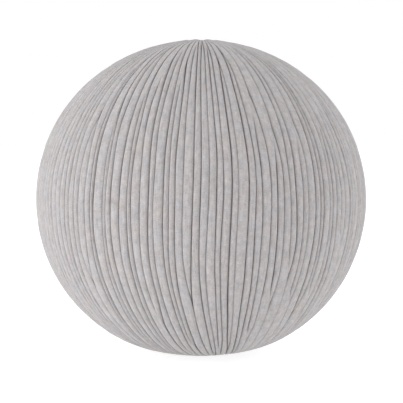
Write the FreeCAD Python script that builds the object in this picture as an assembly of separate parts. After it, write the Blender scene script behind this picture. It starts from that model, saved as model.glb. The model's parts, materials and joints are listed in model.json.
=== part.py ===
import FreeCAD, Part
import math
import os

# Pleated ball cushion: a gathered, pleated cloth cover that zips open at the back, over a sewn liner
# bag of stuffing. Millimetres, +Z up. The origin is the middle of the flat foot that the ball rests on,
# +X is to the right and the zip runs down the back, at +Y.

V = FreeCAD.Vector

# ---- driving dimensions ----------------------------------------------------------------------------
# ball: the side of its outline is one long arc, then a crown above and a shoulder and a base below
ball_width = 300.0
side_arc_inset = 7.0            # how far the side arc's centre lies from the ball's axis
crown_start_angle = 60.0        # where the side arc hands over to the crown, up from level
shoulder_start_angle = 55.0     # where it hands over to the shoulder, down from level
shoulder_radius = 114.0
base_start_angle = 74.0         # where the shoulder hands over to the base, down from level
foot_diameter = 36.0            # flat where the ball's weight rests

# cloth and stuffing
cover_thickness = 4.0           # two folds of pleated cloth
liner_thickness = 1.0
gore_count = 6

# gathers: the cover is drawn in to a tied tail at each pole, with a covered button sunk in the hollow
base_gather_x = 14.0            # the lower gather is pulled off the ball's axis
base_gather_y = 12.0
button_diameter = 19.2
button_height = 4.2
button_cloth = 0.6
button_metal = 0.6
button_clearance = 0.4
button_depth = 5.6              # from the ball's surface to the floor of the hollow
lip_radius = 4.0
gathered_width = 40.0           # the bunched cloth around the hollow
gathered_floor = 3.0
tail_diameter = 14.0
tail_length = 10.0
tail_hole = 8.0
cord_diameter = 2.2
cord_turns = 2
cord_drop = 1.5                 # from the bunched cloth down to the first turn of the cord
washer_diameter = 18.0
washer_thickness = 1.5
back_thickness = 1.0
shank_diameter = 3.6
shank_length = 3.0
twine_diameter = 1.4
twine_spacing = 5.6
twine_bend = 1.2
knot_diameter = 2.8
knot_sink = 0.4                 # the knot is pulled this far into the washer
room_clearance = 0.5            # between the tied tail and the liner

# zip: concentric with the side arc; depths are measured in from the ball's surface
zip_length = 200.0
slot_clearance = 1.05           # between the slider and the cover's hem on each side of it
tape_width = 13.0
tape_thickness = 0.7
tape_tail = 8.0                 # sewn under the cover past each end of the slot
tape_grip = 1.0                 # how far the tape's edge reaches into its teeth
chain_gap = 1.5                 # between the two rows of teeth, where the slider's neck runs
tooth_pitch = 2.5
tooth_length = 1.5
tooth_width = 2.2
tooth_thickness = 2.5
tooth_offset = 0.25             # share of a pitch that the right row is set on, and the left row back
slider_clearance = 0.3
slider_length = 10.0
slider_plate = 1.0
slider_flange = 0.9
neck_width = 0.9
neck_length = 3.0
stop_length = 3.0
bail_inner_radius = 1.0
bail_thickness = 0.8
bail_width = 1.8
pull_length = 20.0
pull_width = 6.0
pull_thickness = 1.2
pull_pin_diameter = 1.0
pull_arm = 0.9
pull_eye_length = 2.8           # from the hinge to the solid grip
pull_hole_diameter = 3.0
pull_hole_setback = 3.5         # from the grip's end to the middle of its hole
slider_ride = 3.0               # from the slider's face out to the pull's hinge, clear of the cover

# care label: blank, sewn to one tape inside the cover
label_length = 34.0
label_width = 22.0
label_thickness = 0.5

# cutting shapes reach this far past what they cut
overshoot = 5.0

# ---- places worked out from them -------------------------------------------------------------------
side_radius = ball_width / 2 - side_arc_inset


def on_arc(centre, radius, angle):
    """The point of an arc in the half-plane (distance from the axis, height), angle up from level."""
    a = math.radians(angle)
    return (centre[0] + radius * math.cos(a), centre[1] + radius * math.sin(a))


# heights are first measured from the side arc's centre, then from the floor
side_centre = (side_arc_inset, 0.0)
crown_radius = side_radius + side_arc_inset / math.cos(math.radians(crown_start_angle))
crown_centre = (0.0, -side_arc_inset * math.tan(math.radians(crown_start_angle)))
shoulder_centre = on_arc(side_centre, side_radius - shoulder_radius, -shoulder_start_angle)
base_radius = shoulder_radius + shoulder_centre[0] / math.cos(math.radians(base_start_angle))
base_centre = (0.0, shoulder_centre[1] + shoulder_centre[0] * math.tan(math.radians(base_start_angle)))
foot_drop = math.sqrt(base_radius ** 2 - (foot_diameter / 2) ** 2)
floor_level = base_centre[1] - foot_drop
waist_height = -floor_level
crown_height = waist_height + crown_centre[1] + crown_radius

zip_span = math.degrees(zip_length / side_radius)
zip_top = zip_span / 2
zip_bottom = -zip_span / 2


def mm_to_degrees(length):
    """The angle that a length along the zip takes up."""
    return math.degrees(length / side_radius)


tape_depth = cover_thickness
tape_middle = tape_depth + tape_thickness / 2
tooth_top = tape_middle - tooth_thickness / 2
tooth_bottom = tape_middle + tooth_thickness / 2
slider_bottom_in = tooth_bottom + slider_clearance
slider_bottom_out = slider_bottom_in + slider_plate
slider_top_in = tooth_top - slider_clearance
slider_top_out = slider_top_in - slider_plate
pull_depth = slider_top_out - slider_ride
tooth_outer = chain_gap / 2 + tooth_width
tape_outer = tooth_outer - tape_grip + tape_width
slider_half_width = tooth_outer + slider_clearance + slider_flange
slot_half_width = slider_half_width + slot_clearance
channel_half_width = slider_half_width + slider_clearance
channel_depth = slider_bottom_out + slider_clearance
slider_angle = zip_top - mm_to_degrees(stop_length + slider_clearance + slider_length / 2)


# ---- shapes used by more than one piece ------------------------------------------------------------
def ball(inset):
    """The ball, or the same ball shrunk by an even inset."""

    def lifted(point):
        return V(point[0], 0, point[1] + waist_height)

    def arc(centre, radius, first, last):
        points = [on_arc(centre, radius, a) for a in (first, (first + last) / 2, last)]
        return Part.Arc(*[lifted(p) for p in points]).toShape()

    bottom = floor_level + inset
    base = base_radius - inset
    foot_angle = -math.degrees(math.asin((base_centre[1] - bottom) / base))
    foot_edge = on_arc(base_centre, base, foot_angle)
    foot_middle = lifted((0.0, bottom))
    pole = lifted((0.0, crown_centre[1] + crown_radius - inset))
    edges = [
        Part.LineSegment(foot_middle, lifted(foot_edge)).toShape(),
        arc(base_centre, base, foot_angle, -base_start_angle),
        arc(shoulder_centre, shoulder_radius - inset, -base_start_angle, -shoulder_start_angle),
        arc(side_centre, side_radius - inset, -shoulder_start_angle, crown_start_angle),
        arc(crown_centre, crown_radius - inset, crown_start_angle, 90.0),
        Part.LineSegment(pole, foot_middle).toShape(),
    ]
    return Part.Face(Part.Wire(edges)).revolve(V(0, 0, 0), V(0, 0, 1), 360)


def zip_point(angle, depth):
    """A point on the middle line of the zip, at an angle along it and a depth below the surface."""
    a = math.radians(angle)
    reach = side_radius - depth
    return V(0, side_arc_inset + reach * math.cos(a), waist_height + reach * math.sin(a))


def zip_block(left, right, outer, inner, first, last):
    """A block bent along the zip: between two x, two depths and two angles."""
    corners = [(left, outer), (right, outer), (right, inner), (left, inner)]
    start = [zip_point(first, depth) + V(x, 0, 0) for x, depth in corners]
    face = Part.Face(Part.makePolygon(start + start[:1]))
    return face.revolve(V(0, side_arc_inset, waist_height), V(1, 0, 0), last - first)


def mirrored_pair(shape):
    """A shape and its twin across the zip's middle."""
    return [shape, shape.mirror(V(0, 0, 0), V(1, 0, 0))]


def fuse(shapes):
    solid = shapes[0].multiFuse(shapes[1:]) if len(shapes) > 1 else shapes[0]
    return solid.removeSplitter()


def dome(radius, height, base):
    """A shallow cap of a sphere standing on the level called base."""
    sphere_radius = (radius ** 2 + height ** 2) / (2 * height)
    sphere = Part.makeSphere(sphere_radius, V(0, 0, base + height - sphere_radius))
    return sphere.common(Part.makeCylinder(radius + overshoot, height + overshoot, V(0, 0, base)))


# ---- one gather and its button, made at the top of the ball's surface with +Z outwards -------------
hollow_radius = button_diameter / 2 + button_clearance
rim_radius = hollow_radius + lip_radius
tail_top = -button_depth - gathered_floor
tail_end = tail_top - tail_length
washer_end = tail_end - washer_thickness
knot_level = washer_end + knot_sink - knot_diameter / 2
knot_length = twine_spacing + twine_diameter + knot_diameter
knot_end = knot_level - knot_diameter / 2
cord_start = tail_top - cord_drop - cord_diameter / 2
button_base = -button_depth


def gather_hollow():
    """The rounded hollow that the button sits in."""
    above = overshoot
    half_turn = math.pi / 4
    lip_middle = V(rim_radius - lip_radius * math.sin(half_turn), 0, -lip_radius * (1 - math.cos(half_turn)))
    lip = Part.Arc(V(hollow_radius, 0, -lip_radius), lip_middle, V(rim_radius, 0, 0))
    edges = [
        Part.makeLine(V(0, 0, above), V(0, 0, -button_depth)),
        Part.makeLine(V(0, 0, -button_depth), V(hollow_radius, 0, -button_depth)),
        Part.makeLine(V(hollow_radius, 0, -button_depth), V(hollow_radius, 0, -lip_radius)),
        lip.toShape(),
        Part.makeLine(V(rim_radius, 0, 0), V(rim_radius, 0, above)),
        Part.makeLine(V(rim_radius, 0, above), V(0, 0, above)),
    ]
    return Part.Face(Part.Wire(edges)).revolve(V(0, 0, 0), V(0, 0, 1), 360)


def gathered_cloth(grow=0.0):
    """The bunched cloth around the hollow; grow leaves room around it."""
    bunch_length = button_depth + gathered_floor + grow
    return Part.makeCylinder(gathered_width / 2 + grow, bunch_length + overshoot, V(0, 0, -bunch_length))


def tail_room(grow=0.0):
    """The pocket in the stuffing that the tied tail, the washer and the knot take up."""
    radius = max(washer_diameter / 2, tail_diameter / 2 + cord_diameter / 2) + room_clearance + grow
    length = -knot_end + room_clearance + grow
    return Part.makeCylinder(radius, length, V(0, 0, -length))


def gather_cord():
    """The cord that ties the tail, wound around it."""
    turns = []
    for turn in range(cord_turns):
        level = cord_start - turn * cord_diameter
        turns.append(Part.makeTorus(tail_diameter / 2, cord_diameter / 2, V(0, 0, level)))
    return Part.makeCompound(turns)


def tail():
    """The tied tail of gathered cloth, with the hole that the button's twine runs through."""
    body = Part.makeCylinder(tail_diameter / 2, tail_length, V(0, 0, tail_end))
    return body.cut(gather_cord())


def twine_hole():
    length = tail_length + gathered_floor + 2 * overshoot
    return Part.makeCylinder(tail_hole / 2, length, V(0, 0, tail_end - overshoot))


def button_cloth_cap():
    outer = dome(button_diameter / 2, button_height, button_base)
    return outer.cut(dome(button_diameter / 2 - button_cloth, button_height - button_cloth, button_base))


def button_shell():
    skin = button_cloth
    outer = dome(button_diameter / 2 - skin, button_height - skin, button_base)
    skin = skin + button_metal
    return outer.cut(dome(button_diameter / 2 - skin, button_height - skin, button_base))


def button_back():
    """The plate pressed into the shell, with the shank that the twine passes through."""
    skin = button_cloth + button_metal
    inside = dome(button_diameter / 2 - skin, button_height - skin, button_base)
    plate = inside.common(Part.makeCylinder(button_diameter, back_thickness, V(0, 0, button_base)))
    shank = Part.makeCylinder(shank_diameter / 2, shank_length, V(0, 0, button_base - shank_length))
    eye_start = V(-shank_diameter, 0, button_base - shank_length / 2)
    eye = Part.makeCylinder(twine_diameter / 2, shank_diameter * 2, eye_start, V(1, 0, 0))
    return fuse([plate, shank]).cut(eye)


def twine_path():
    """Up one side, through the shank's eye and down the other side."""
    side = twine_spacing / 2
    eye_level = button_base - shank_length / 2
    shoulder = eye_level - twine_bend
    corner = twine_bend * (1 - math.cos(math.pi / 4))
    left = V(-side, 0, shoulder)
    left_turned = V(-side + twine_bend, 0, eye_level)
    right_turned = V(side - twine_bend, 0, eye_level)
    right = V(side, 0, shoulder)
    return Part.Wire([
        Part.makeLine(V(-side, 0, knot_level), left),
        Part.Arc(left, V(-side + corner, 0, eye_level - corner), left_turned).toShape(),
        Part.makeLine(left_turned, right_turned),
        Part.Arc(right_turned, V(side - corner, 0, eye_level - corner), right).toShape(),
        Part.makeLine(right, V(side, 0, knot_level)),
    ])


def twine_knot():
    """The knot as a short bar that spans both strands."""
    return Part.makeCylinder(knot_diameter / 2, knot_length, V(-knot_length / 2, 0, knot_level), V(1, 0, 0))


def button_twine():
    """Waxed twine through the shank's eye, tied behind the washer."""
    ring = Part.Wire(Part.makeCircle(twine_diameter / 2, V(-twine_spacing / 2, 0, knot_level), V(0, 0, 1)))
    strand = twine_path().makePipeShell([ring], True, False)
    return fuse([strand, twine_knot()])


def backing_washer():
    """The plate inside the cover that the twine is tied against."""
    plate = Part.makeCylinder(washer_diameter / 2, washer_thickness, V(0, 0, washer_end))
    for side in (-1, 1):
        start = V(side * twine_spacing / 2, 0, washer_end - overshoot)
        plate = plate.cut(Part.makeCylinder(twine_diameter / 2, washer_thickness + 2 * overshoot, start))
    return plate.cut(twine_knot())


def at_crown(shape):
    placed = shape.copy()
    placed.translate(V(0, 0, crown_height))
    return placed


def at_base(shape):
    placed = shape.copy()
    placed.rotate(V(0, 0, 0), V(1, 0, 0), 180)
    placed.translate(V(base_gather_x, base_gather_y, 0))
    return placed


# ---- the zip ---------------------------------------------------------------------------------------
def tape_shape(side):
    """A woven tape that lies against the inside of the cover, on the side given by -1 or 1."""
    inner_edge = tooth_outer - tape_grip
    first = zip_bottom - mm_to_degrees(tape_tail)
    last = zip_top + mm_to_degrees(tape_tail)
    strip = zip_block(inner_edge, tape_outer, -overshoot, tape_depth + overshoot, first, last)
    if side < 0:
        strip = mirrored_pair(strip)[1]
    return ball(tape_depth).cut(ball(tape_depth + tape_thickness)).common(strip)


def care_label():
    """A blank cloth label sewn behind the right tape, between the tape and the liner."""
    outer = tape_depth + tape_thickness
    half = mm_to_degrees(label_length / 2)
    left = channel_half_width
    sheet = ball(outer).cut(ball(outer + label_thickness))
    return sheet.common(zip_block(left, left + label_width, -overshoot, outer + overshoot, -half, half))


def teeth(side):
    """One row of teeth between the stops, clamped on the tape's edge and staggered with the other row."""
    run = zip_length - 4 * stop_length
    count = int(run / tooth_pitch)
    row = []
    for number in range(count):
        along = -run / 2 + (number + 0.5 - side * tooth_offset) * tooth_pitch
        first = mm_to_degrees(along - tooth_length / 2)
        last = mm_to_degrees(along + tooth_length / 2)
        tooth = zip_block(chain_gap / 2, tooth_outer, tooth_top, tooth_bottom, first, last)
        row.append(tooth if side > 0 else mirrored_pair(tooth)[1])
    return Part.makeCompound(row).cut(tape_shape(side))


def top_stops():
    """A small clamp on each tape that the slider stops against."""
    first = zip_top - mm_to_degrees(stop_length)
    stop = zip_block(chain_gap / 2, tooth_outer, tooth_top, tooth_bottom, first, zip_top)
    right, left = mirrored_pair(stop)
    return Part.makeCompound([right.cut(tape_shape(1)), left.cut(tape_shape(-1))])


def bottom_stop():
    """One clamp across both tapes at the lower end."""
    last = zip_bottom + mm_to_degrees(stop_length)
    stop = zip_block(-tooth_outer, tooth_outer, tooth_top, tooth_bottom, zip_bottom, last)
    return stop.cut(tape_shape(1)).cut(tape_shape(-1))


def slider():
    """Two plates around the teeth, joined by a neck between the rows, with a bail on the face."""
    half = mm_to_degrees(slider_length / 2)
    low = slider_angle - half
    high = slider_angle + half
    width = slider_half_width
    face_plate = zip_block(-width, width, slider_top_out, slider_top_in, low, high)
    back_plate = zip_block(-width, width, slider_bottom_in, slider_bottom_out, low, high)
    lip_start = width - slider_flange
    above_tape = tape_depth - slider_clearance
    below_tape = tape_depth + tape_thickness + slider_clearance
    face_lip = zip_block(lip_start, width, slider_top_in, above_tape, low, high)
    back_lip = zip_block(lip_start, width, below_tape, slider_bottom_in, low, high)
    neck_low = high - mm_to_degrees(neck_length)
    neck = zip_block(-neck_width / 2, neck_width / 2, slider_top_in, slider_bottom_in, neck_low, high)
    bail_radius = bail_inner_radius + bail_thickness
    hinge = zip_point(slider_angle, pull_depth)
    start = hinge - V(bail_width / 2, 0, 0)
    ring = Part.makeCylinder(bail_radius, bail_width, start, V(1, 0, 0))
    leg_low = slider_angle - mm_to_degrees(bail_radius)
    leg_high = slider_angle + mm_to_degrees(bail_radius)
    legs = zip_block(-bail_width / 2, bail_width / 2, pull_depth, slider_top_in, leg_low, leg_high)
    eye_start = start - V(overshoot, 0, 0)
    eye = Part.makeCylinder(bail_inner_radius, bail_width + 2 * overshoot, eye_start, V(1, 0, 0))
    below_face = zip_block(-bail_width, bail_width, slider_top_in, slider_bottom_in, low, neck_low)
    bail = fuse([ring, legs]).cut(eye).cut(below_face)
    pieces = [face_plate, back_plate, neck, bail] + mirrored_pair(face_lip) + mirrored_pair(back_lip)
    return fuse(pieces)


def zip_pull():
    """The pull: a pin through the bail, two arms and a flat grip that hangs down the zip."""
    half = pull_thickness / 2
    pin = Part.makeCylinder(pull_pin_diameter / 2, pull_width, V(-pull_width / 2, 0, 0), V(1, 0, 0))
    grip_length = pull_length - pull_eye_length
    grip = Part.makeBox(pull_width, grip_length, pull_thickness, V(-pull_width / 2, pull_eye_length, -half))
    upright = [edge for edge in grip.Edges if edge.BoundBox.ZLength > half]
    far_corners = [edge for edge in upright if edge.CenterOfMass.y > pull_length / 2]
    grip = grip.makeFillet(pull_width / 3, far_corners)
    hole_start = V(0, pull_length - pull_hole_setback, -half - overshoot)
    hole = Part.makeCylinder(pull_hole_diameter / 2, pull_thickness + 2 * overshoot, hole_start)
    arm_start = pull_width / 2 - pull_arm
    arm = Part.makeBox(pull_arm, pull_eye_length, pull_thickness, V(arm_start, 0, -half))
    knuckle = Part.makeCylinder(half, pull_arm, V(arm_start, 0, 0), V(1, 0, 0))
    pull = fuse([pin, grip] + mirrored_pair(arm) + mirrored_pair(knuckle)).cut(hole)
    # the grip's length (+Y here) turns to point down the zip
    pull.rotate(V(0, 0, 0), V(1, 0, 0), slider_angle - 90)
    pull.translate(zip_point(slider_angle, pull_depth))
    return pull


# ---- cover, liner and stuffing ---------------------------------------------------------------------
def pleated_cover():
    gathers = fuse([
        at_crown(gathered_cloth()).common(ball(0)),
        at_base(gathered_cloth()).common(ball(0)),
    ])
    wall = ball(0).cut(ball(cover_thickness))
    cover = wall.multiFuse([gathers, at_crown(tail()), at_base(tail())])
    for hollow in (gather_hollow(), twine_hole()):
        cover = cover.cut(at_crown(hollow)).cut(at_base(hollow))
    slot_depth = cover_thickness + overshoot
    return cover.cut(zip_block(-slot_half_width, slot_half_width, -overshoot, slot_depth, zip_bottom, zip_top))


def stuffed_shape(skin):
    """The liner's outside for a skin of 0, and the stuffing's outside for the liner's thickness."""
    inset = cover_thickness + skin
    shape = ball(inset)
    extra = mm_to_degrees(skin + slider_clearance)
    channel_side = channel_half_width + skin
    floor = channel_depth + skin
    channel = zip_block(-channel_side, channel_side, -overshoot, floor, zip_bottom - extra, zip_top + extra)
    below = inset + 2 * overshoot
    tape_side = tape_outer + skin
    tape_low = zip_bottom - mm_to_degrees(tape_tail + skin)
    tape_high = zip_top + mm_to_degrees(tape_tail + skin)
    tape_bed = zip_block(-tape_side, tape_side, -overshoot, below, tape_low, tape_high)
    tape_bed = ball(0).cut(ball(inset + tape_thickness)).common(tape_bed)
    label_start = channel_half_width - skin
    label_end = channel_half_width + label_width + skin
    label_half = mm_to_degrees(label_length / 2 + skin)
    label_bed = zip_block(label_start, label_end, -overshoot, below, -label_half, label_half)
    label_bed = ball(0).cut(ball(inset + tape_thickness + label_thickness)).common(label_bed)
    for place in (at_crown, at_base):
        shape = shape.cut(place(gathered_cloth(skin))).cut(place(tail_room(skin)))
    return shape.cut(channel).cut(tape_bed).cut(label_bed)


def liner_gores():
    """The liner bag, cut into its sewn gores; the zip runs down the middle of the first."""
    bag = stuffed_shape(0).cut(stuffed_shape(liner_thickness))
    step = 360.0 / gore_count
    reach = ball_width / 2 + overshoot
    gores = []
    for number in range(gore_count):
        wedge = Part.makeCylinder(reach, crown_height, V(0, 0, 0), V(0, 0, 1), step)
        wedge.rotate(V(0, 0, 0), V(0, 0, 1), 90.0 - step / 2 + number * step)
        gores.append(bag.common(wedge))
    return gores


# ---- nodes -----------------------------------------------------------------------------------------
def solids_of(shape):
    """A single solid where there is one, and otherwise a group of them."""
    parts = shape.Solids
    return parts[0] if len(parts) == 1 else Part.makeCompound(parts)


nodes = {
    "pleated_cover": pleated_cover(),
    "filling": stuffed_shape(liner_thickness),
    "zip_tape_left": tape_shape(-1),
    "zip_tape_right": tape_shape(1),
    "zip_teeth_left": teeth(-1),
    "zip_teeth_right": teeth(1),
    "zip_top_stops": top_stops(),
    "zip_bottom_stop": bottom_stop(),
    "zip_slider": slider(),
    "zip_pull": zip_pull(),
    "care_label": care_label(),
}
for number, gore in enumerate(liner_gores(), 1):
    nodes[f"liner_gore_{number}"] = gore
for pole, place in (("crown", at_crown), ("base", at_base)):
    nodes[f"{pole}_button_cloth"] = place(button_cloth_cap())
    nodes[f"{pole}_button_shell"] = place(button_shell())
    nodes[f"{pole}_button_back"] = place(button_back())
    nodes[f"{pole}_button_twine"] = place(button_twine())
    nodes[f"{pole}_backing_washer"] = place(backing_washer())
    nodes[f"{pole}_gather_cord"] = place(gather_cord())

os.makedirs("parts", exist_ok=True)
for name, shape in nodes.items():
    solid = solids_of(shape)
    solid.exportStep(f"parts/{name}.step")
    box = solid.BoundBox
    print(
        f"{name}: {len(solid.Solids)} solid(s), valid {solid.isValid()}, {solid.Volume / 1000:.2f} cm3, "
        f"x {box.XMin:.1f}..{box.XMax:.1f} y {box.YMin:.1f}..{box.YMax:.1f} z {box.ZMin:.1f}..{box.ZMax:.1f}"
    )

hinge = zip_point(slider_angle, pull_depth)
travel = slider_angle - (zip_bottom + mm_to_degrees(stop_length + slider_clearance + slider_length / 2))
print(f"side arc radius {side_radius:.2f}, waist height {waist_height:.3f}, crown height {crown_height:.3f}")
print(f"zip slider turns about y {side_arc_inset:.3f} z {waist_height:.3f}, travel {travel:.2f} degrees")
print(f"zip pull turns about y {hinge.y:.3f} z {hinge.z:.3f}, slider angle {slider_angle:.2f}")
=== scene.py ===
import json
import math

import bmesh
import bpy
import numpy as np
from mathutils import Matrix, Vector


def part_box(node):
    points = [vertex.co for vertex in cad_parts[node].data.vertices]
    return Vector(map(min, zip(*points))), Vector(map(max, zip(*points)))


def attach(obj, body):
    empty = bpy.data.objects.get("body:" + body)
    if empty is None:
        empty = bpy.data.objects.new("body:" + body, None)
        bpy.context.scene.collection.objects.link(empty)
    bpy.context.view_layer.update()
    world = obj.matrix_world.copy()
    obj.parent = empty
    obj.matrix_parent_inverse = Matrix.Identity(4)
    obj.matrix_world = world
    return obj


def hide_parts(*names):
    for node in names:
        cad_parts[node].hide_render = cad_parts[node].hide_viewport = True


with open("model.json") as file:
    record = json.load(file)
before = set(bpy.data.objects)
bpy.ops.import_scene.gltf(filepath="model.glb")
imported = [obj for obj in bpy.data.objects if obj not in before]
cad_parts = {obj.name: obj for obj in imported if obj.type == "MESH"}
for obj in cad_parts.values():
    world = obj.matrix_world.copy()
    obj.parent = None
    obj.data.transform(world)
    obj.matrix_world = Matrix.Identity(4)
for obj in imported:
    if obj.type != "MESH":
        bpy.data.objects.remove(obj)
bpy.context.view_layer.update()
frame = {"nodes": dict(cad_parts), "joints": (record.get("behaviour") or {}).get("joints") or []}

# %% [markdown]
# # A pleated ball cushion
# The real thing is a round, firmly stuffed liner inside a cover of thin cloth. The cloth is drawn up into
# about 150 fine pleats that run from pole to pole, is tied off at both poles, and zips open down the back.
# This lesson makes the cloth first, because it is nearly all that one sees, and then the buttons and the
# zip. Everything is in metres, in the frame of the CAD model, so nothing has to be fitted afterwards.

# %% Sizes shared by every step
MM = 0.001
cover_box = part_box("pleated_cover")
BALL_WIDTH = round((cover_box[1][0] - cover_box[0][0]) / MM) * MM
SIDE_INSET = 7 * MM              # centre of the side arc, off the ball's axis
CROWN_START = math.radians(60)   # where the side arc hands over to the crown
SHOULDER_START = math.radians(55)
SHOULDER_RADIUS = 114 * MM
BASE_START = math.radians(74)
BASE_GATHER = (14 * MM, 12 * MM)  # the lower gather is off the axis
HOLLOW_RADIUS = 10 * MM          # the hollow that each button sits in
HOLLOW_DEPTH = 5.75 * MM
LIP_RADIUS = 4 * MM
SLOT_HALF = 5.2 * MM             # the zip's slot
SLOT_DEPTH = 7.05 * MM
ZIP_HALF_LENGTH = 100 * MM
SEED = 23

joint_places = {joint["name"]: Vector(joint["pos_m"]) for joint in frame["joints"]}
WAIST = joint_places["zip_slide"].z
SIDE_RADIUS = BALL_WIDTH / 2 - SIDE_INSET
print(f"ball {BALL_WIDTH / MM:.0f} mm wide, waist at {WAIST / MM:.1f} mm")

# %% [markdown]
# ## Studio, camera and light
# The ball stands on a wide white floor under an even white sky, so there is no horizon. The camera is far
# off and a little above the waist, because both gathers can just be seen where the pleats run together.

# %% Camera
CAMERA_DISTANCE = 7 * BALL_WIDTH / 2
CAMERA_RISE = math.radians(3.5)
LENS = 102.4
centre = Vector((0, 0, WAIST))
camera = bpy.data.objects.new("camera", bpy.data.cameras.new("camera"))
camera.data.lens = LENS
camera.data.sensor_width = 36
bpy.context.collection.objects.link(camera)
back = Vector((0, -math.cos(CAMERA_RISE), math.sin(CAMERA_RISE)))
camera.location = centre + back * CAMERA_DISTANCE
aim = centre + Vector((0.5 * MM, 0, -2.0 * MM))
camera.rotation_euler = (aim - camera.location).to_track_quat("-Z", "Y").to_euler()
bpy.context.scene.camera = camera
print(f"camera {CAMERA_DISTANCE:.2f} m away")


# %% Floor and lights
def new_material(name):
    """A material with a Principled shader, and the two nodes that everything else links to."""
    material = bpy.data.materials.new(name)
    material.use_nodes = True
    shader = material.node_tree.nodes["Principled BSDF"]
    return material, material.node_tree, shader


def new_object(name, vertices, faces, material=None, smooth=True):
    """A mesh object with its place in its mesh."""
    mesh = bpy.data.meshes.new(name)
    mesh.from_pydata([tuple(v) for v in vertices], [], faces)
    mesh.polygons.foreach_set("use_smooth", [smooth] * len(mesh.polygons))
    mesh.update()
    made = bpy.data.objects.new(name, mesh)
    bpy.context.collection.objects.link(made)
    if material:
        mesh.materials.append(material)
    return made


FLOOR_RADIUS = 12.0
floor_ring = [(FLOOR_RADIUS * math.cos(math.tau * i / 96), FLOOR_RADIUS * math.sin(math.tau * i / 96), 0.0)
              for i in range(96)]
floor_material, _, floor_shader = new_material("white_floor")
floor_shader.inputs["Base Color"].default_value = (0.5, 0.5, 0.5, 1)
floor_shader.inputs["Roughness"].default_value = 0.9
floor_shader.inputs["Emission Color"].default_value = (1, 1, 1, 1)
floor_shader.inputs["Emission Strength"].default_value = 0.75
floor = new_object("floor", floor_ring, [tuple(range(96))], floor_material)


def area_light(name, place, target, size, power):
    light = bpy.data.lights.new(name, "AREA")
    light.shape = "RECTANGLE"
    light.size, light.size_y = size
    light.energy = power
    lamp = bpy.data.objects.new(name, light)
    bpy.context.collection.objects.link(lamp)
    lamp.location = place
    lamp.rotation_euler = (Vector(target) - Vector(place)).to_track_quat("-Z", "Y").to_euler()
    return lamp


area_light("key", (-2.0, -0.9, 0.5), centre, (1.0, 1.4), 24)
area_light("fill", (2.0, -0.2, 0.9), centre, (1.0, 1.4), 6.5)
world = bpy.data.worlds.new("studio")
world.use_nodes = True
world.node_tree.nodes["Background"].inputs["Color"].default_value = (1, 1, 1, 1)
world.node_tree.nodes["Background"].inputs["Strength"].default_value = 1.0
bpy.context.scene.world = world
bpy.context.scene.view_settings.view_transform = "Standard"

# %% [markdown]
# ## The form under the pleats
# Cloth this fine follows whatever is under it, so the pleats are laid over a smooth form. The form is the
# ball's outline, four arcs in a row, turned about the axis, with three changes: its lower pole is pulled off
# the axis to where the gather is, a hollow with a rounded lip is sunk at each pole for the button, and a
# trench runs down the back where the zip is. Each lip is folded a little, as drawn-up cloth is. It is made
# as a plain grid of rings, because the pleats need to look up a place on it from two numbers: how far
# round, and how far down.


# %% The outline
def outline_distance(tilt):
    """How far the surface is from the waist's middle, at an angle above (or below) level."""
    crown_radius = SIDE_RADIUS + SIDE_INSET / math.cos(CROWN_START)
    crown = (0.0, -SIDE_INSET * math.tan(CROWN_START))
    reach = SIDE_RADIUS - SHOULDER_RADIUS
    shoulder = (SIDE_INSET + reach * math.cos(SHOULDER_START), -reach * math.sin(SHOULDER_START))
    base_radius = SHOULDER_RADIUS + shoulder[0] / math.cos(BASE_START)
    base = (0.0, shoulder[1] + shoulder[0] * math.tan(BASE_START))
    arcs = [
        ((SIDE_INSET, 0.0), SIDE_RADIUS, -SHOULDER_START, CROWN_START),
        (crown, crown_radius, CROWN_START, math.pi),
        (shoulder, SHOULDER_RADIUS, -BASE_START, -SHOULDER_START),
        (base, base_radius, -math.pi, -BASE_START),
    ]
    best = None
    for (cx, cz), radius, first, last in arcs:
        along = cx * math.cos(tilt) + cz * math.sin(tilt)
        distance = along + math.sqrt(along * along - cx * cx - cz * cz + radius * radius)
        x = distance * math.cos(tilt) - cx
        z = distance * math.sin(tilt) - cz
        if first - 1e-6 <= math.atan2(z, x) <= last + 1e-6:
            best = distance
    return best


TILTS = np.radians(np.linspace(-90, 90, 721))
DISTANCES = np.array([outline_distance(min(max(t, -math.pi / 2 + 1e-4), math.pi / 2 - 1e-4)) for t in TILTS])
crown_top = WAIST + DISTANCES[-1]
print(f"crown at {crown_top / MM:.1f} mm, base arc at {(WAIST - DISTANCES[0]) / MM:.1f} mm")


def surface_height(radius, upper):
    """Height of the ball's surface at a distance from its axis."""
    r = DISTANCES * np.cos(TILTS)
    z = DISTANCES * np.sin(TILTS)
    half = z > 0 if upper else z <= 0
    order = np.argsort(r[half])
    return WAIST + np.interp(radius, r[half][order], z[half][order])


# %% The form as a grid of rings
FORM_COLUMNS = 480
DART_LENGTH = 20 * MM            # past each end of the zip, where the trench closes like a dart
CROWDING_REACH = 22 * MM         # the trench pushes the cloth beside it together over this distance
CLOSING_REACH = 6 * MM           # past its ends, the cloth closes up again over this one
SEAM_HALF = 0.25 * MM            # the seam that goes on from the zip to the poles
SEAM_DEPTH = 2.2 * MM
TRENCH_LEAVES = math.radians(156)  # down from the crown, where the seam has turned to the base gather
TRENCH_TURNS = math.radians(136)   # where it starts to turn
HEM_SHARE = 0.006                # of the way round that the zip's trench takes, on each side of its middle
RIM_RADIUS = HOLLOW_RADIUS + LIP_RADIUS


def hollow_path():
    """(distance from the hollow's middle, depth) from the middle of the floor out to the rim."""
    path = [((HOLLOW_RADIUS - 0.6 * MM) * s, HOLLOW_DEPTH) for s in (0.0005, 0.5, 1)]
    path.append((HOLLOW_RADIUS - 0.15 * MM, HOLLOW_DEPTH - 0.5 * MM))
    for step in range(7):
        turn = math.pi / 2 * step / 6
        path.append((RIM_RADIUS - LIP_RADIUS * math.cos(turn), LIP_RADIUS * (1 - math.sin(turn))))
    return path


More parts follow.
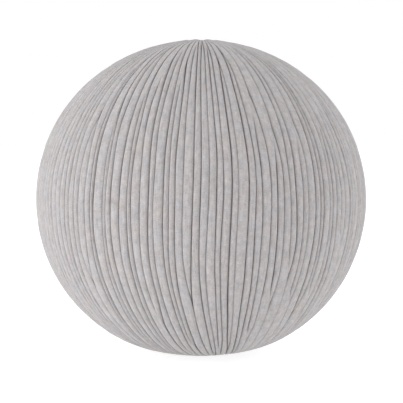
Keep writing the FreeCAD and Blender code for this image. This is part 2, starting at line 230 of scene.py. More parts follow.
def smooth_step(value, low, high):
    t = np.clip((value - low) / (high - low), 0, 1)
    return t * t * (3 - 2 * t)


def polar_rings():
    """Angles down from the crown for the rings between the two rims."""
    first = math.atan2(RIM_RADIUS, DISTANCES[-1])
    last = math.pi - math.atan2(RIM_RADIUS, DISTANCES[0])
    return np.linspace(first, last, 260)


def ring_positions(polar, around):
    """Points of the ring at an angle down from the crown, for angles round the axis."""
    direction = np.stack([
        np.sin(polar) * np.cos(around), np.sin(polar) * np.sin(around), np.cos(polar) * np.ones_like(around)
    ], axis=1)
    pull = math.hypot(*BASE_GATHER)
    lean = math.atan2(pull, WAIST) * smooth_step(polar, math.radians(85), math.pi)
    side = np.array([BASE_GATHER[0], BASE_GATHER[1], 0]) / pull
    axis = np.cross(side, [0, 0, 1.0])
    # turning about the axis moves the lower pole towards the gather
    c, s = math.cos(lean), math.sin(lean)
    dot = direction @ axis
    direction = direction * c + np.cross(axis, direction) * s + np.outer(dot * (1 - c), axis)
    tilt = np.arcsin(np.clip(direction[:, 2], -1, 1))
    points = direction * np.interp(tilt, TILTS, DISTANCES)[:, None]
    near = smooth_step(polar, math.radians(160), math.radians(172))
    if near > 0:
        radius = WAIST * math.tan(math.pi - polar)
        ring = np.stack([BASE_GATHER[0] + radius * np.cos(around),
                         BASE_GATHER[1] + radius * np.sin(around)], axis=1)
        points[:, :2] = points[:, :2] * (1 - near) + ring * near
        points[:, 2] = surface_height(np.hypot(points[:, 0], points[:, 1]), False) - WAIST
    points[:, 2] += WAIST
    points[:, 2] = np.maximum(points[:, 2], 0.0)
    return points


def trench_middle(polar):
    """Where the trench crosses a ring: the angle round the axis, and the surface's tilt and radius there."""
    turn = math.pi / 2
    for _ in range(3):
        x, y, z = ring_positions(polar, np.array([turn]))[0]
        if polar < TRENCH_LEAVES:
            turn += math.atan2(x, y)
    turn -= (turn - math.pi / 2) * smooth_step(polar, TRENCH_TURNS, TRENCH_LEAVES)
    return turn, math.atan2(z - WAIST, math.hypot(x, y)), math.hypot(x, y)


def trench_size(tilt, radius):
    """The trench's half width and that of the cloth pushed aside, as angles round the axis, and its depth."""
    along = abs(tilt) * SIDE_RADIUS
    open_share = 1 - smooth_step(along, ZIP_HALF_LENGTH, ZIP_HALF_LENGTH + DART_LENGTH)
    aside_share = 1 - smooth_step(along, ZIP_HALF_LENGTH - DART_LENGTH, ZIP_HALF_LENGTH + 2.5 * DART_LENGTH)
    width = SEAM_HALF + (SLOT_HALF - SEAM_HALF) * open_share
    aside = max(SEAM_HALF + (SLOT_HALF - SEAM_HALF) * aside_share, SEAM_HALF)
    sunk_share = 1 - smooth_step(along, ZIP_HALF_LENGTH - 1.5 * MM, ZIP_HALF_LENGTH + 1.5 * MM)
    depth = SEAM_DEPTH + (SLOT_DEPTH - SEAM_DEPTH) * sunk_share
    fade = smooth_step(radius, RIM_RADIUS, RIM_RADIUS * 2.5)
    return width / radius, aside / radius, depth * (0.15 + 0.85 * fade)


# %% [markdown]
# ## Stuffing it: a short cloth simulation
# A stuffed cover isn't quite the shape that it was cut to. Where it is held, at the two gathers and along the
# zip, it is drawn in, and between them it swells. A coarse copy of the ball is held at those places and blown
# up as cloth for twenty frames. Only how far it stays back from the fullest places is kept, up to a cap.

# %% Stuffing
SIM_COLUMNS = 96
SIM_ROWS = 64
SIM_FRAMES = 20
SIM_SHRINK = 0.975
SINK_CAP = 0.7 * MM


def coarse_ball():
    """Rings of the ball between the rims, closed with a point at each pole, a little shrunk."""
    around = math.pi / 2 + np.linspace(0, 2 * math.pi, SIM_COLUMNS, endpoint=False)
    polars = np.interp(np.linspace(0, 1, SIM_ROWS), np.linspace(0, 1, len(polar_rings())), polar_rings())
    rings = np.array([ring_positions(polar, around) for polar in polars])
    poles = [rings[0].mean(axis=0) - (0, 0, HOLLOW_DEPTH), rings[-1].mean(axis=0) + (0, 0, HOLLOW_DEPTH)]
    points = np.concatenate([rings.reshape(-1, 3), poles])
    middle = np.array([0, 0, WAIST])
    points = middle + (points - middle) * SIM_SHRINK
    faces = []
    for row in range(SIM_ROWS - 1):
        for column in range(SIM_COLUMNS):
            a, b = row * SIM_COLUMNS + column, row * SIM_COLUMNS + (column + 1) % SIM_COLUMNS
            faces.append((a, a + SIM_COLUMNS, b + SIM_COLUMNS, b))
    last = (SIM_ROWS - 1) * SIM_COLUMNS
    for column in range(SIM_COLUMNS):
        beside = (column + 1) % SIM_COLUMNS
        faces.append((column, beside, SIM_ROWS * SIM_COLUMNS))
        faces.append((last + beside, last + column, SIM_ROWS * SIM_COLUMNS + 1))
    return polars, points, faces


def stuffed_sink():
    """How far each place of the coarse ball stays back once it is blown up, by row and column."""
    polars, points, faces = coarse_ball()
    blown = new_object("blown_ball", points, faces)
    held = blown.vertex_groups.new(name="held")
    zip_rows = [row for row in range(SIM_ROWS)
                if abs(math.pi / 2 - polars[row]) * SIDE_RADIUS < ZIP_HALF_LENGTH]
    rims = [*range(SIM_COLUMNS), *range((SIM_ROWS - 1) * SIM_COLUMNS, SIM_ROWS * SIM_COLUMNS + 2)]
    held.add(rims, 1.0, "REPLACE")
    held.add([row * SIM_COLUMNS for row in zip_rows], 0.9, "REPLACE")
    cloth_step = blown.modifiers.new("stuffing", "CLOTH")
    settings = cloth_step.settings
    settings.quality = 6
    settings.mass = 0.02
    settings.tension_stiffness = settings.compression_stiffness = 3
    settings.shear_stiffness = 1.5
    settings.bending_stiffness = 0.1
    settings.use_pressure = True
    settings.uniform_pressure_force = 24
    settings.vertex_group_mass = "held"
    settings.effector_weights.gravity = 0
    cloth_step.point_cache.frame_start = 1
    cloth_step.point_cache.frame_end = SIM_FRAMES
    for step in range(1, SIM_FRAMES + 1):
        bpy.context.scene.frame_set(step)
    graph = bpy.context.evaluated_depsgraph_get()
    result = np.zeros(len(points) * 3, dtype=np.float32)
    blown.evaluated_get(graph).data.vertices.foreach_get("co", result)
    bpy.context.scene.frame_set(1)
    bpy.data.objects.remove(blown)
    middle = np.array([0, 0, WAIST])
    swell = np.linalg.norm(result.reshape(-1, 3) - middle, axis=1) - np.linalg.norm(points - middle, axis=1)
    swell = swell[:-2].reshape(SIM_ROWS, SIM_COLUMNS)
    sink = np.clip(np.percentile(swell, 85) - swell, 0, SINK_CAP)
    print(f"the cloth swelled by {swell.max() / MM:.1f} mm, and stays back by up to {sink.max() / MM:.1f} mm")
    return polars, sink


sink_polars, sink_depth = stuffed_sink()


def sink_at(polar, turned):
    """The sink for one ring, at shares of the way round from the zip."""
    row = np.array([np.interp(polar, sink_polars, sink_depth[:, c]) for c in range(SIM_COLUMNS)])
    return np.interp(turned * SIM_COLUMNS, np.arange(SIM_COLUMNS + 1), np.append(row, row[0]))


# %% Rings of the form
# Across half of the trench, from its middle: two points of floor, its corner, the wall, the rounded edge.
HEM_COLUMNS = 6
HEM_TURN = 0.01                  # the hem's share of a turn inside the hollows, in radians
DRIFT_WIDTH = 0.6                # how far round the trench's lean is felt, in radians
SINK_STARTS = math.radians(20)
SINK_ENDS = (math.radians(145), math.radians(165))
hem = np.linspace(0, 1, HEM_COLUMNS + 1)
hem_side = np.array([0.0, 0.5, 0.96, 0.98, 1.0, 1.06, 1.22])    # as a share of its half width
hem_depth = np.array([1.0, 1.0, 1.0, 0.6, 0.25, 0.06, 0.0])     # as a share of its depth
shares = np.concatenate([hem * HEM_SHARE, np.linspace(HEM_SHARE, 1 - HEM_SHARE, FORM_COLUMNS)[1:-1],
                         1 - hem[::-1] * HEM_SHARE])
rows = []
for polar in polar_rings():
    start, tilt, radius = trench_middle(polar)
    half, aside, depth = trench_size(tilt, radius)
    open_edge = half * hem_side[-1]
    body = 2 * math.pi * np.linspace(0, 1, FORM_COLUMNS)
    other = 2 * math.pi - body
    reach = max(CROWDING_REACH / radius, 2 * open_edge)
    pushed = []
    for side in (body, other):
        closing = 1 - np.exp(-side * radius / CLOSING_REACH)
        pushed.append((open_edge + (aside * hem_side[-1] - open_edge) * closing) * np.exp(-side / reach))
    near_hem = np.exp(-(body / DRIFT_WIDTH) ** 2) + np.exp(-(other / DRIFT_WIDTH) ** 2)
    drift = (start - math.pi / 2) * near_hem
    body = math.pi / 2 + body + drift + pushed[0] - pushed[1]
    around = np.concatenate([start + hem_side * half, body[1:-1], start + 2 * math.pi - hem_side[::-1] * half])
    points = ring_positions(polar, around)
    out = points - np.array([0, 0, WAIST])
    out /= np.linalg.norm(out, axis=1)[:, None]
    sunk_share = np.concatenate([hem_depth, np.zeros(FORM_COLUMNS - 2), hem_depth[::-1]])
    turned = np.clip((around - start) / (2 * math.pi), 0, 1)
    from_crown = smooth_step(polar, polar_rings()[0], SINK_STARTS)
    fade = from_crown * (1 - smooth_step(polar, *SINK_ENDS))
    drawn_in = sink_at(polar, turned) * fade * (1 - sunk_share)
    rows.append(points - out * (sunk_share * depth + drawn_in)[:, None])
plain = np.linspace(math.pi / 2 + HEM_TURN, 2.5 * math.pi - HEM_TURN, FORM_COLUMNS)[1:-1]
turns = np.concatenate([math.pi / 2 + hem * HEM_TURN, plain, 2.5 * math.pi - hem[::-1] * HEM_TURN])
ring_direction = np.stack([np.cos(turns), np.sin(turns), np.zeros_like(turns)], axis=1)
crown_rows = []
base_rows = []
for radius, depth in hollow_path()[:-1]:
    crown_ring = ring_direction * radius
    crown_ring[:, 2] = surface_height(radius, True) - depth
    crown_rows.append(crown_ring)
    base_ring = ring_direction * radius + np.array([*BASE_GATHER, 0])
    height = np.maximum(surface_height(np.hypot(base_ring[:, 0], base_ring[:, 1]), False), 0.0)
    base_ring[:, 2] = height + depth
    base_rows.append(base_ring)
form_grid = np.array(crown_rows + rows + base_rows[::-1])
LIP_FOLDS = 8
LIP_FOLD_HEIGHT = 0.4 * MM
LIP_FOLD_REACH = 5 * MM
LIP_FOLD_START = math.radians(70)


def fold_lip(grid, middle, upper):
    """Raises and sinks the lip of a hollow a little, as drawn-up cloth does."""
    x, y = grid[:, :, 0] - middle[0], grid[:, :, 1] - middle[1]
    radius = np.hypot(x, y)
    near = np.exp(-((radius - RIM_RADIUS) / LIP_FOLD_REACH) ** 2)
    near *= smooth_step(radius, HOLLOW_RADIUS, RIM_RADIUS)
    near *= grid[:, :, 2] > WAIST if upper else grid[:, :, 2] < WAIST
    wave = np.cos(LIP_FOLDS * (np.arctan2(y, x) - LIP_FOLD_START))
    grid[:, :, 2] += near * LIP_FOLD_HEIGHT * (wave if upper else np.maximum(wave, 0))


fold_lip(form_grid, (0, 0), True)
fold_lip(form_grid, BASE_GATHER, False)
print("form rings and columns:", form_grid.shape[:2])

# %% The form as a mesh with its two look-up numbers
ring_count, column_count = form_grid.shape[:2]
steps = np.linalg.norm(np.diff(form_grid[:, column_count // 2], axis=0), axis=1)
down = np.concatenate([[0], np.cumsum(steps)]) / steps.sum()
corner = np.arange(ring_count * column_count).reshape(ring_count, column_count)
form_faces = np.stack([corner[:-1, :-1], corner[1:, :-1], corner[1:, 1:], corner[:-1, 1:]], axis=-1)
form_faces = form_faces.reshape(-1, 4)
form = new_object("form", form_grid.reshape(-1, 3), form_faces.tolist())
lookup = form.data.uv_layers.new(name="lookup")
uv = np.stack([np.tile(shares, ring_count), np.repeat(down, column_count)], axis=1)
lookup.data.foreach_set("uv", uv[form_faces.reshape(-1)].astype(np.float32).reshape(-1))
PATH_LENGTH = steps.sum()
tilt_of_row = np.arctan2(form_grid[:, column_count // 2, 2] - WAIST,
                         np.hypot(form_grid[:, column_count // 2, 0], form_grid[:, column_count // 2, 1]))
print(f"pole to pole over the cloth: {PATH_LENGTH / MM:.0f} mm")

# %% [markdown]
# ## A helper for node trees
# A pleat's shape is a sum of small rules, and drawn as nodes it would be a long chain of Math nodes. The
# class below lets the script write such a rule as a line of arithmetic; each sign still makes one node.


# %% Arithmetic that makes nodes
class Value:
    """A socket of a node tree that can be added, multiplied and compared."""

    def __init__(self, tree, socket):
        self.tree = tree
        self.socket = socket

    def math(self, operation, *others):
        node = self.tree.nodes.new("ShaderNodeMath")
        node.operation = operation
        for socket, value in zip(node.inputs, (self, *others)):
            feed(self.tree, socket, value)
        return Value(self.tree, node.outputs[0])

    def __add__(self, other):
        return self.math("ADD", other)

    def __mul__(self, other):
        return self.math("MULTIPLY", other)

    def __sub__(self, other):
        return self.math("SUBTRACT", other)

    def __truediv__(self, other):
        return self.math("DIVIDE", other)

    def __rsub__(self, other):
        return (self * -1) + other

    __radd__ = __add__
    __rmul__ = __mul__

    def at_least(self, low):
        return self.math("MAXIMUM", low)

    def at_most(self, high):
        return self.math("MINIMUM", high)

    def power(self, exponent):
        return self.math("POWER", exponent)

    def rise(self, low, high):
        """0 below low, 1 above high and a smooth step between."""
        node = self.tree.nodes.new("ShaderNodeMapRange")
        node.interpolation_type = "SMOOTHSTEP"
        for socket, value in zip(node.inputs[:3], (self, low, high)):
            feed(self.tree, socket, value)
        return Value(self.tree, node.outputs[0])

    def mix(self, other, share):
        return self + (other - self) * share


def feed(tree, socket, value):
    if isinstance(value, Value):
        tree.links.new(value.socket, socket)
    elif hasattr(value, "links"):
        tree.links.new(value, socket)
    else:
        socket.default_value = value


def noise(tree, x, y, z, detail=1.0):
    """Smooth noise about zero, roughly -1 to 1; the coordinates are in lengths of its bumps."""
    point = tree.nodes.new("ShaderNodeCombineXYZ")
    for socket, value in zip(point.inputs, (x, y, z)):
        feed(tree, socket, value)
    node = tree.nodes.new("ShaderNodeTexNoise")
    node.inputs["Scale"].default_value = 1
    node.inputs["Detail"].default_value = detail
    tree.links.new(point.outputs[0], node.inputs["Vector"])
    return (Value(tree, node.outputs["Fac"]) - 0.5) * 3.2


def chance(tree, low, high, number, seed):
    """A random number for each whole number, from low to high."""
    node = tree.nodes.new("FunctionNodeRandomValue")
    node.data_type = "FLOAT"
    for name, value in (("Min_001", low), ("Max_001", high), ("ID", number), ("Seed", seed)):
        feed(tree, next(s for s in node.inputs if s.identifier == name), value)
    return Value(tree, node.outputs["Value_001"] if "Value_001" in node.outputs else node.outputs[1])


def new_tree(name, inputs):
    """A Geometry Nodes tree with a Geometry input and output, and the named inputs asked for."""
    tree = bpy.data.node_groups.new(name, "GeometryNodeTree")
    tree.interface.new_socket("Geometry", in_out="INPUT", socket_type="NodeSocketGeometry")
    tree.interface.new_socket("Geometry", in_out="OUTPUT", socket_type="NodeSocketGeometry")
    kinds = {int: "NodeSocketInt", float: "NodeSocketFloat", str: "NodeSocketMaterial"}
    for label, value in inputs.items():
        socket = tree.interface.new_socket(label, in_out="INPUT", socket_type=kinds[type(value)])
        if type(value) is not str:
            socket.default_value = value
    group_in = tree.nodes.new("NodeGroupInput")
    group_out = tree.nodes.new("NodeGroupOutput")
    return tree, group_in.outputs, group_out.inputs


def add_node(tree, kind, settings=None, **inputs):
    """A node with its settings, and its inputs fed by name (an underscore stands for a space)."""
    node = tree.nodes.new(kind)
    for name, value in (settings or {}).items():
        setattr(node, name, value)
    for name, value in inputs.items():
        feed(tree, node.inputs[name.replace("_", " ")], value)
    return node


def run_tree(host, tree, materials=None, **values):
    """Puts the tree on an object as a modifier and returns the result as a plain mesh object."""
    modifier = host.modifiers.new(tree.name, "NODES")
    modifier.node_group = tree
    for item in tree.interface.items_tree:
        if item.item_type == "SOCKET" and item.in_out == "INPUT":
            if item.name in values:
                modifier[item.identifier] = values[item.name]
            elif item.name in (materials or {}):
                modifier[item.identifier] = materials[item.name]
    graph = bpy.context.evaluated_depsgraph_get()
    mesh = bpy.data.meshes.new_from_object(host.evaluated_get(graph))
    host.modifiers.remove(modifier)
    return mesh


# %% [markdown]
# ## The pleats
# A pleat is the land between two grooves, so the rule is about grooves. Groove number g would run down
# meridian g, but the cloth has its own ideas:
# - it wanders a little from side to side, each groove in its own way;
# - there is less room towards the poles, so every other land narrows to nothing and its two grooves run on
#   as one. Each does so at a height of its own, slowly above the waist and more suddenly below;
# - some grooves just fade out into the land beside them.
# Between its two grooves a land is a rounded bar. The tree makes a grid with eight columns for each pleat,
# works out each point's place round the ball from these rules, looks that place up on the form, and
# lowers it into the groove along the form's normal.

# %% What the form tells the pleats
ring_radius = np.linalg.norm(np.diff(form_grid, axis=1), axis=2).sum(axis=1) / (2 * math.pi)
for name, values in (("tilt", np.degrees(tilt_of_row)), ("ring", ring_radius)):
    attribute = form.data.attributes.new(name, "FLOAT", "POINT")
    attribute.data.foreach_set("value", np.repeat(values, column_count).astype(np.float32))
normals = np.zeros(len(form.data.vertices) * 3, dtype=np.float32)
form.data.vertex_normals.foreach_get("vector", normals)
if np.dot(normals.reshape(-1, 3)[corner[ring_count // 2, column_count // 2]], [0, -1, 0]) < 0:
    normals = -normals
outward = form.data.attributes.new("outward", "FLOAT_VECTOR", "POINT")
outward.data.foreach_set("vector", normals)

# %% The tree
PLEATS = 150
COLUMNS_PER_PLEAT = 8
PLEAT_ROWS = 170
pleat_sizes = {
    "Pleats": PLEATS, "Columns per pleat": COLUMNS_PER_PLEAT, "Rows": PLEAT_ROWS, "Hem columns": HEM_COLUMNS,
    "Depth": 2.7 * MM, "Full depth at pitch": 1.5 * MM, "Roundness": 2.3, "Wander": 0.17, "Slow wander": 0.45,
    "Uneven width": 0.24, "Joining from": 6.0, "Upper joining to": 64.0, "Lower joining to": 62.0,
    "Upper taper": 28.0, "Lower taper": 20.0, "Loose ends above": 0.8, "Loose ends below": 0.6, "Lean": 0.14,
    "Crest unevenness": 0.26 * MM, "Seed": SEED, "Cloth": "material",
}
tree, given, made = new_tree("pleats", pleat_sizes)
size = {name: Value(tree, given[name]) for name in pleat_sizes}

pleat_columns = size["Pleats"] * size["Columns per pleat"]
columns = pleat_columns + size["Hem columns"] * 2
grid = add_node(tree, "GeometryNodeMeshGrid", Size_X=columns, Size_Y=size["Rows"],
                Vertices_X=columns + 1, Vertices_Y=size["Rows"] + 1)
place = add_node(tree, "ShaderNodeSeparateXYZ", Vector=tree.nodes.new("GeometryNodeInputPosition").outputs[0])
column = Value(tree, place.outputs["X"]) + columns * 0.5
row = Value(tree, place.outputs["Y"]) + size["Rows"] * 0.5
TURN = 2 * math.pi
ROW_CROWDING = 0.6     # rows stand closer at the poles, where the lips are
COLUMN_CROWDING = 0.75  # columns stand closer at the grooves
row_share = row / size["Rows"]
down_share = row_share - (row_share * TURN).math("SINE") * (ROW_CROWDING / TURN)
body_column = (column - size["Hem columns"]).at_least(0).math("MINIMUM", pleat_columns)
pleat = (body_column / size["Columns per pleat"] + 0.001).math("FLOOR").math("MINIMUM", size["Pleats"] - 1)
within = body_column / size["Columns per pleat"] - pleat
across = within - (within * TURN).math("SINE") * (COLUMN_CROWDING / TURN)


def look_up(name, kind, around, down):
    """Reads one of the form's attributes at a place on it."""
    values = add_node(tree, "GeometryNodeInputNamedAttribute", {"data_type": kind}, Name=name)
    places = add_node(tree, "GeometryNodeInputNamedAttribute", {"data_type": "FLOAT_VECTOR"}, Name="lookup")
    where = add_node(tree, "ShaderNodeCombineXYZ", X=around, Y=down)
    if name == "position":
        values = tree.nodes.new("GeometryNodeInputPosition")
    node = tree.nodes.new("GeometryNodeSampleUVSurface")
    node.data_type = kind
    tree.links.new(given["Geometry"], node.inputs["Mesh"])
    tree.links.new(values.outputs[0], node.inputs["Value"])
    tree.links.new(places.outputs[0], node.inputs["Source UV Map"])
    tree.links.new(where.outputs[0], node.inputs["Sample UV"])
    return node.outputs["Value"]


tilt = Value(tree, look_up("tilt", "FLOAT", 0.5, down_share))
pitch = Value(tree, look_up("ring", "FLOAT", 0.5, down_share)) * TURN / size["Pleats"]


def groove(number):
    """Where a groove runs, counted in pleats round the ball, and how deep it is."""
    odd = number.math("FLOORED_MODULO", 2.0)
    pair = number - 1 + odd
    inside = pair.math("GREATER_THAN", 0.5) * (size["Pleats"] - 1.5 - pair).math("GREATER_THAN", 0.0)
    upper_start = chance(tree, size["Joining from"], size["Upper joining to"], pair, size["Seed"])
    lower_start = chance(tree, size["Joining from"], size["Lower joining to"], pair, size["Seed"] + 1)
    lower_taper = size["Lower taper"] * chance(tree, 0.4, 1.6, pair, size["Seed"] + 2)
    upper = (tilt - upper_start).rise(0.0, size["Upper taper"])
    lower = (tilt * -1 - lower_start).rise(0.0, lower_taper)
    joined = upper.at_least(lower) * inside
    own = noise(tree, number * 17.3, tilt / 34, size["Seed"] + 0.5)
    own = own + chance(tree, -1.0, 1.0, number, size["Seed"] + 5) * (size["Uneven width"] / size["Wander"])
    shared = noise(tree, pair * 13.7, tilt / 34, size["Seed"] + 40.5)
    slow = noise(tree, number / 11, tilt / 60, size["Seed"] + 80.5)
    free = number.rise(0.0, 4.0) * (size["Pleats"] - number).rise(0.0, 4.0)
    run = number + joined * (odd - 0.5) + own.mix(shared, joined) * free * size["Wander"]
    run = run + slow * free * size["Slow wander"]
    loose_share = size["Loose ends above"].mix(size["Loose ends below"], (tilt * -1).rise(-4.0, 4.0))
    loose = (loose_share - chance(tree, 0.0, 1.0, pair, size["Seed"] + 3)).math("GREATER_THAN", 0.0) * odd
    fade = 1 - loose * joined.rise(0.0, 0.5)
    firm = noise(tree, number * 9.1, tilt / 18, size["Seed"] + 120.5) * 0.2 + 0.95
    edge = number.rise(0.0, 1.0) * (size["Pleats"] - number).rise(0.0, 1.0)
    return run, firm * fade * edge


left, left_depth = groove(pleat)
right, right_depth = groove(pleat + 1)
width = (right - left).at_least(0.0)
edge_distance = (across * 2 - 1).math("ABSOLUTE")
flatness = size["Roundness"] * width.at_least(0.7)
land = (1 - edge_distance.power(flatness)).at_least(0.0).power(0.5)
full = width.rise(0.0, 0.6)
height = land * full
side = across.rise(0.35, 0.65)
room = (pitch / size["Full depth at pitch"]).at_most(1.0)
groove_depth = left_depth.mix(right_depth, side) * size["Depth"] * room
lean = chance(tree, size["Lean"] * -0.35, size["Lean"], pleat, size["Seed"] + 4)
around_pleats = left + width * across + lean * (1 - land) * (right_depth.at_most(left_depth)).at_most(1.0)
crest = noise(tree, pleat * 5.3, tilt / 14, size["Seed"] + 160.5)
crest = crest + noise(tree, pleat * 7.9 + across, tilt / 5, 3.5) * 0.4
crest_room = (pitch / (6 * MM)).at_most(1.0)
sunk = groove_depth * (1 - height) + size["Crest unevenness"] * (0.6 - crest * 0.6) * height * crest_room

hem_left = (column / size["Hem columns"]).at_most(1.0)
hem_right = ((columns - column) / size["Hem columns"]).at_most(1.0)
in_body = hem_left.math("COMPARE", 1.0, 0.001) * hem_right.math("COMPARE", 1.0, 0.001)
body_share = around_pleats / size["Pleats"] * (1 - 2 * HEM_SHARE) + HEM_SHARE
hem_share = hem_left * HEM_SHARE + (1 - hem_right) * HEM_SHARE
hem_share = hem_share + (column / columns).math("GREATER_THAN", 0.5) * (1 - 2 * HEM_SHARE)
EDGE = 0.00002                   # keeps each look-up just inside the form
around_share = hem_share.mix(body_share, in_body).at_least(EDGE).at_most(1 - EDGE)
down_safe = down_share.at_least(EDGE).at_most(1 - EDGE)

surface = look_up("position", "FLOAT_VECTOR", around_share, down_safe)
facing = look_up("outward", "FLOAT_VECTOR", around_share, down_safe)
drop = add_node(tree, "ShaderNodeVectorMath", {"operation": "SCALE"}, Scale=sunk * in_body * -1)
tree.links.new(facing, drop.inputs[0])
lowered = add_node(tree, "ShaderNodeVectorMath", {"operation": "ADD"})
tree.links.new(surface, lowered.inputs[0])
tree.links.new(drop.outputs[0], lowered.inputs[1])
on_floor = add_node(tree, "ShaderNodeVectorMath", {"operation": "MAXIMUM"})
tree.links.new(lowered.outputs[0], on_floor.inputs[0])
on_floor.inputs[1].default_value = (-1, -1, 0)

cloth_place = add_node(tree, "ShaderNodeCombineXYZ", X=(pleat + across) * (2 * math.pi * 0.15 / PLEATS),
                       Y=down_share * PATH_LENGTH, Z=pleat * 0.37)
stored = grid
for name, kind, value in (("groove", "FLOAT", (1 - height) * groove_depth / size["Depth"] * in_body),
                          ("cloth", "FLOAT_VECTOR", cloth_place.outputs[0])):
    stored = add_node(tree, "GeometryNodeStoreNamedAttribute", {"data_type": kind, "domain": "POINT"},
                      Geometry=stored.outputs[0], Name=name, Value=value)
moved = add_node(tree, "GeometryNodeSetPosition", Geometry=stored.outputs[0], Position=on_floor.outputs[0])
closed = add_node(tree, "GeometryNodeMergeByDistance", Geometry=moved.outputs[0], Distance=0.02 * MM)
rounded = add_node(tree, "GeometryNodeSetShadeSmooth", Geometry=closed.outputs[0])
real = add_node(tree, "GeometryNodeRealizeInstances", Geometry=rounded.outputs[0])
dressed = add_node(tree, "GeometryNodeSetMaterial", Geometry=real.outputs[0], Material=given["Cloth"])
tree.links.new(dressed.outputs[0], made["Geometry"])
print("the pleat tree has", len(tree.nodes), "nodes")

# %% [markdown]
# ## Cloth
# The cloth is a light, warm grey with a soft, short nap. Two groups hold what several cloths share. The first
# makes the nap: a fine grain, soft patches where the nap lies another way, and faint streaks along the pleat
# that stand for shallow creases, painted shade in the colour and a bump in the height.
# The second colours it, and darkens it towards the bottom of a fold, where little light gets in.


# %% Helpers for materials
def read_attribute(tree, name, output):
    node = tree.nodes.new("ShaderNodeAttribute")
    node.attribute_name = name
    return node.outputs[output]


def object_place(tree):
    return tree.nodes.new("ShaderNodeTexCoord").outputs["Object"]


def shader_noise(tree, place, scale, detail=2.0, stretch=(1, 1, 1)):
    """Noise at a place; the scale is in bumps per metre and stretch divides it by direction."""
    mapping = add_node(tree, "ShaderNodeMapping", Vector=place)
    mapping.inputs["Scale"].default_value = tuple(scale / s for s in stretch)
    texture = add_node(tree, "ShaderNodeTexNoise", Vector=mapping.outputs[0], Scale=1.0, Detail=detail)
    return Value(tree, texture.outputs["Fac"])


def new_group(name, inputs, outputs):
    """A shader node group; its inputs and outputs are given as name: value or kind."""
    group = bpy.data.node_groups.new(name, "ShaderNodeTree")
    kinds = {0: "NodeSocketFloat", 3: "NodeSocketVector", 4: "NodeSocketColor"}
    for label, value in inputs.items():
        kind = kinds[len(value) if hasattr(value, "__len__") else 0]
        socket = group.interface.new_socket(label, in_out="INPUT", socket_type=kind)
        socket.default_value = value
    for label, kind in outputs.items():
        group.interface.new_socket(label, in_out="OUTPUT", socket_type=kind)
    return group, group.nodes.new("NodeGroupInput").outputs, group.nodes.new("NodeGroupOutput").inputs


def use_group(tree, group, **values):
    node = tree.nodes.new("ShaderNodeGroup")
    node.node_tree = group
    for name, value in values.items():
        feed(tree, node.inputs[name.replace("_", " ")], value)
    return node


def dress(tree, shader, colour, height, strength, distance):
    """Links a colour and a bump to a Principled shader."""
    tree.links.new(colour, shader.inputs["Base Color"])
    bump = add_node(tree, "ShaderNodeBump", Height=height, Strength=strength, Distance=distance)
    tree.links.new(bump.outputs["Normal"], shader.inputs["Normal"])


# %% Nap and fold groups
nap_group, given_in, made_out = new_group(
    "nap", {"Place": (0.0, 0.0, 0.0), "Patches": 1.0, "Streaks": 1.0},
    {"Shade": "NodeSocketFloat", "Tint": "NodeSocketFloat", "Height": "NodeSocketFloat"})
grain = shader_noise(nap_group, given_in["Place"], 1100, 3)
patches = shader_noise(nap_group, given_in["Place"], 330, 3, (1, 1.5, 1))
streaks = shader_noise(nap_group, given_in["Place"], 900, 2, (1, 14, 1))
tints = shader_noise(nap_group, given_in["Place"], 90, 3)
patch_share = Value(nap_group, given_in["Patches"])
streak_share = Value(nap_group, given_in["Streaks"])
# the streaks put painted shade of shallow creases along the pleat into the shade, and a bump into the height
shade = (grain - 0.5) * 1.3 + (patches - 0.5) * 1.0 * patch_share + (streaks - 0.5) * 0.8 * streak_share
feed(nap_group, made_out["Shade"], shade)
feed(nap_group, made_out["Tint"], tints - 0.5)
feed(nap_group, made_out["Height"], grain * 0.6 + streaks * streak_share * 0.8 + patches * patch_share * 0.4)

fold_group, given_in, made_out = new_group(
    "fold_shade", {"Colour": (0.5, 0.5, 0.5, 1.0), "Shade": 0.0, "Tint": 0.0, "Fold": 0.0, "Darkening": 0.66},
    {"Colour": "NodeSocketColor"})
bright = 1 + Value(fold_group, given_in["Shade"]) * 0.55
depth = Value(fold_group, given_in["Fold"]).rise(0.35, 1.0)
bright = bright * (1 - depth * Value(fold_group, given_in["Darkening"]))
tint = Value(fold_group, given_in["Tint"])
channels = add_node(fold_group, "ShaderNodeCombineColor", Red=bright * (1 + tint * 0.13 + depth * 0.08),
                    Green=bright, Blue=bright * (1 - tint * 0.13 - depth * 0.08))
product = add_node(fold_group, "ShaderNodeMix", {"data_type": "RGBA", "blend_type": "MULTIPLY"})
product.inputs["Factor"].default_value = 1
feed(fold_group, product.inputs[6], given_in["Colour"])
feed(fold_group, product.inputs[7], channels.outputs[0])
feed(fold_group, made_out["Colour"], product.outputs[2])

# %% [markdown]
# Three more groups serve the other pieces: threads that cross over and under each other, strands twisted
# round a cord, and the faint scratches and polished spots of hard surfaces.

# %% Weave, strand and scuff groups
weave_group, given_in, made_out = new_group(
    "weave", {"Place": (0.0, 0.0, 0.0), "Threads": 1000.0},
    {"Shade": "NodeSocketFloat", "Height": "NodeSocketFloat"})
threads = Value(weave_group, given_in["Threads"]) * math.pi
spread = add_node(weave_group, "ShaderNodeSeparateXYZ", Vector=given_in["Place"])
across_wave = (Value(weave_group, spread.outputs["X"]) * threads).math("SINE")
along_wave = ((Value(weave_group, spread.outputs["Y"]) + spread.outputs["Z"]) * threads).math("SINE")
crossing = across_wave * along_wave
slub = shader_noise(weave_group, given_in["Place"], 500, 2, (1, 6, 1)) - 0.5
feed(weave_group, made_out["Shade"], crossing * 0.1 + slub * 0.4)
feed(weave_group, made_out["Height"], crossing * 0.5 + 0.5 + slub * 0.5)

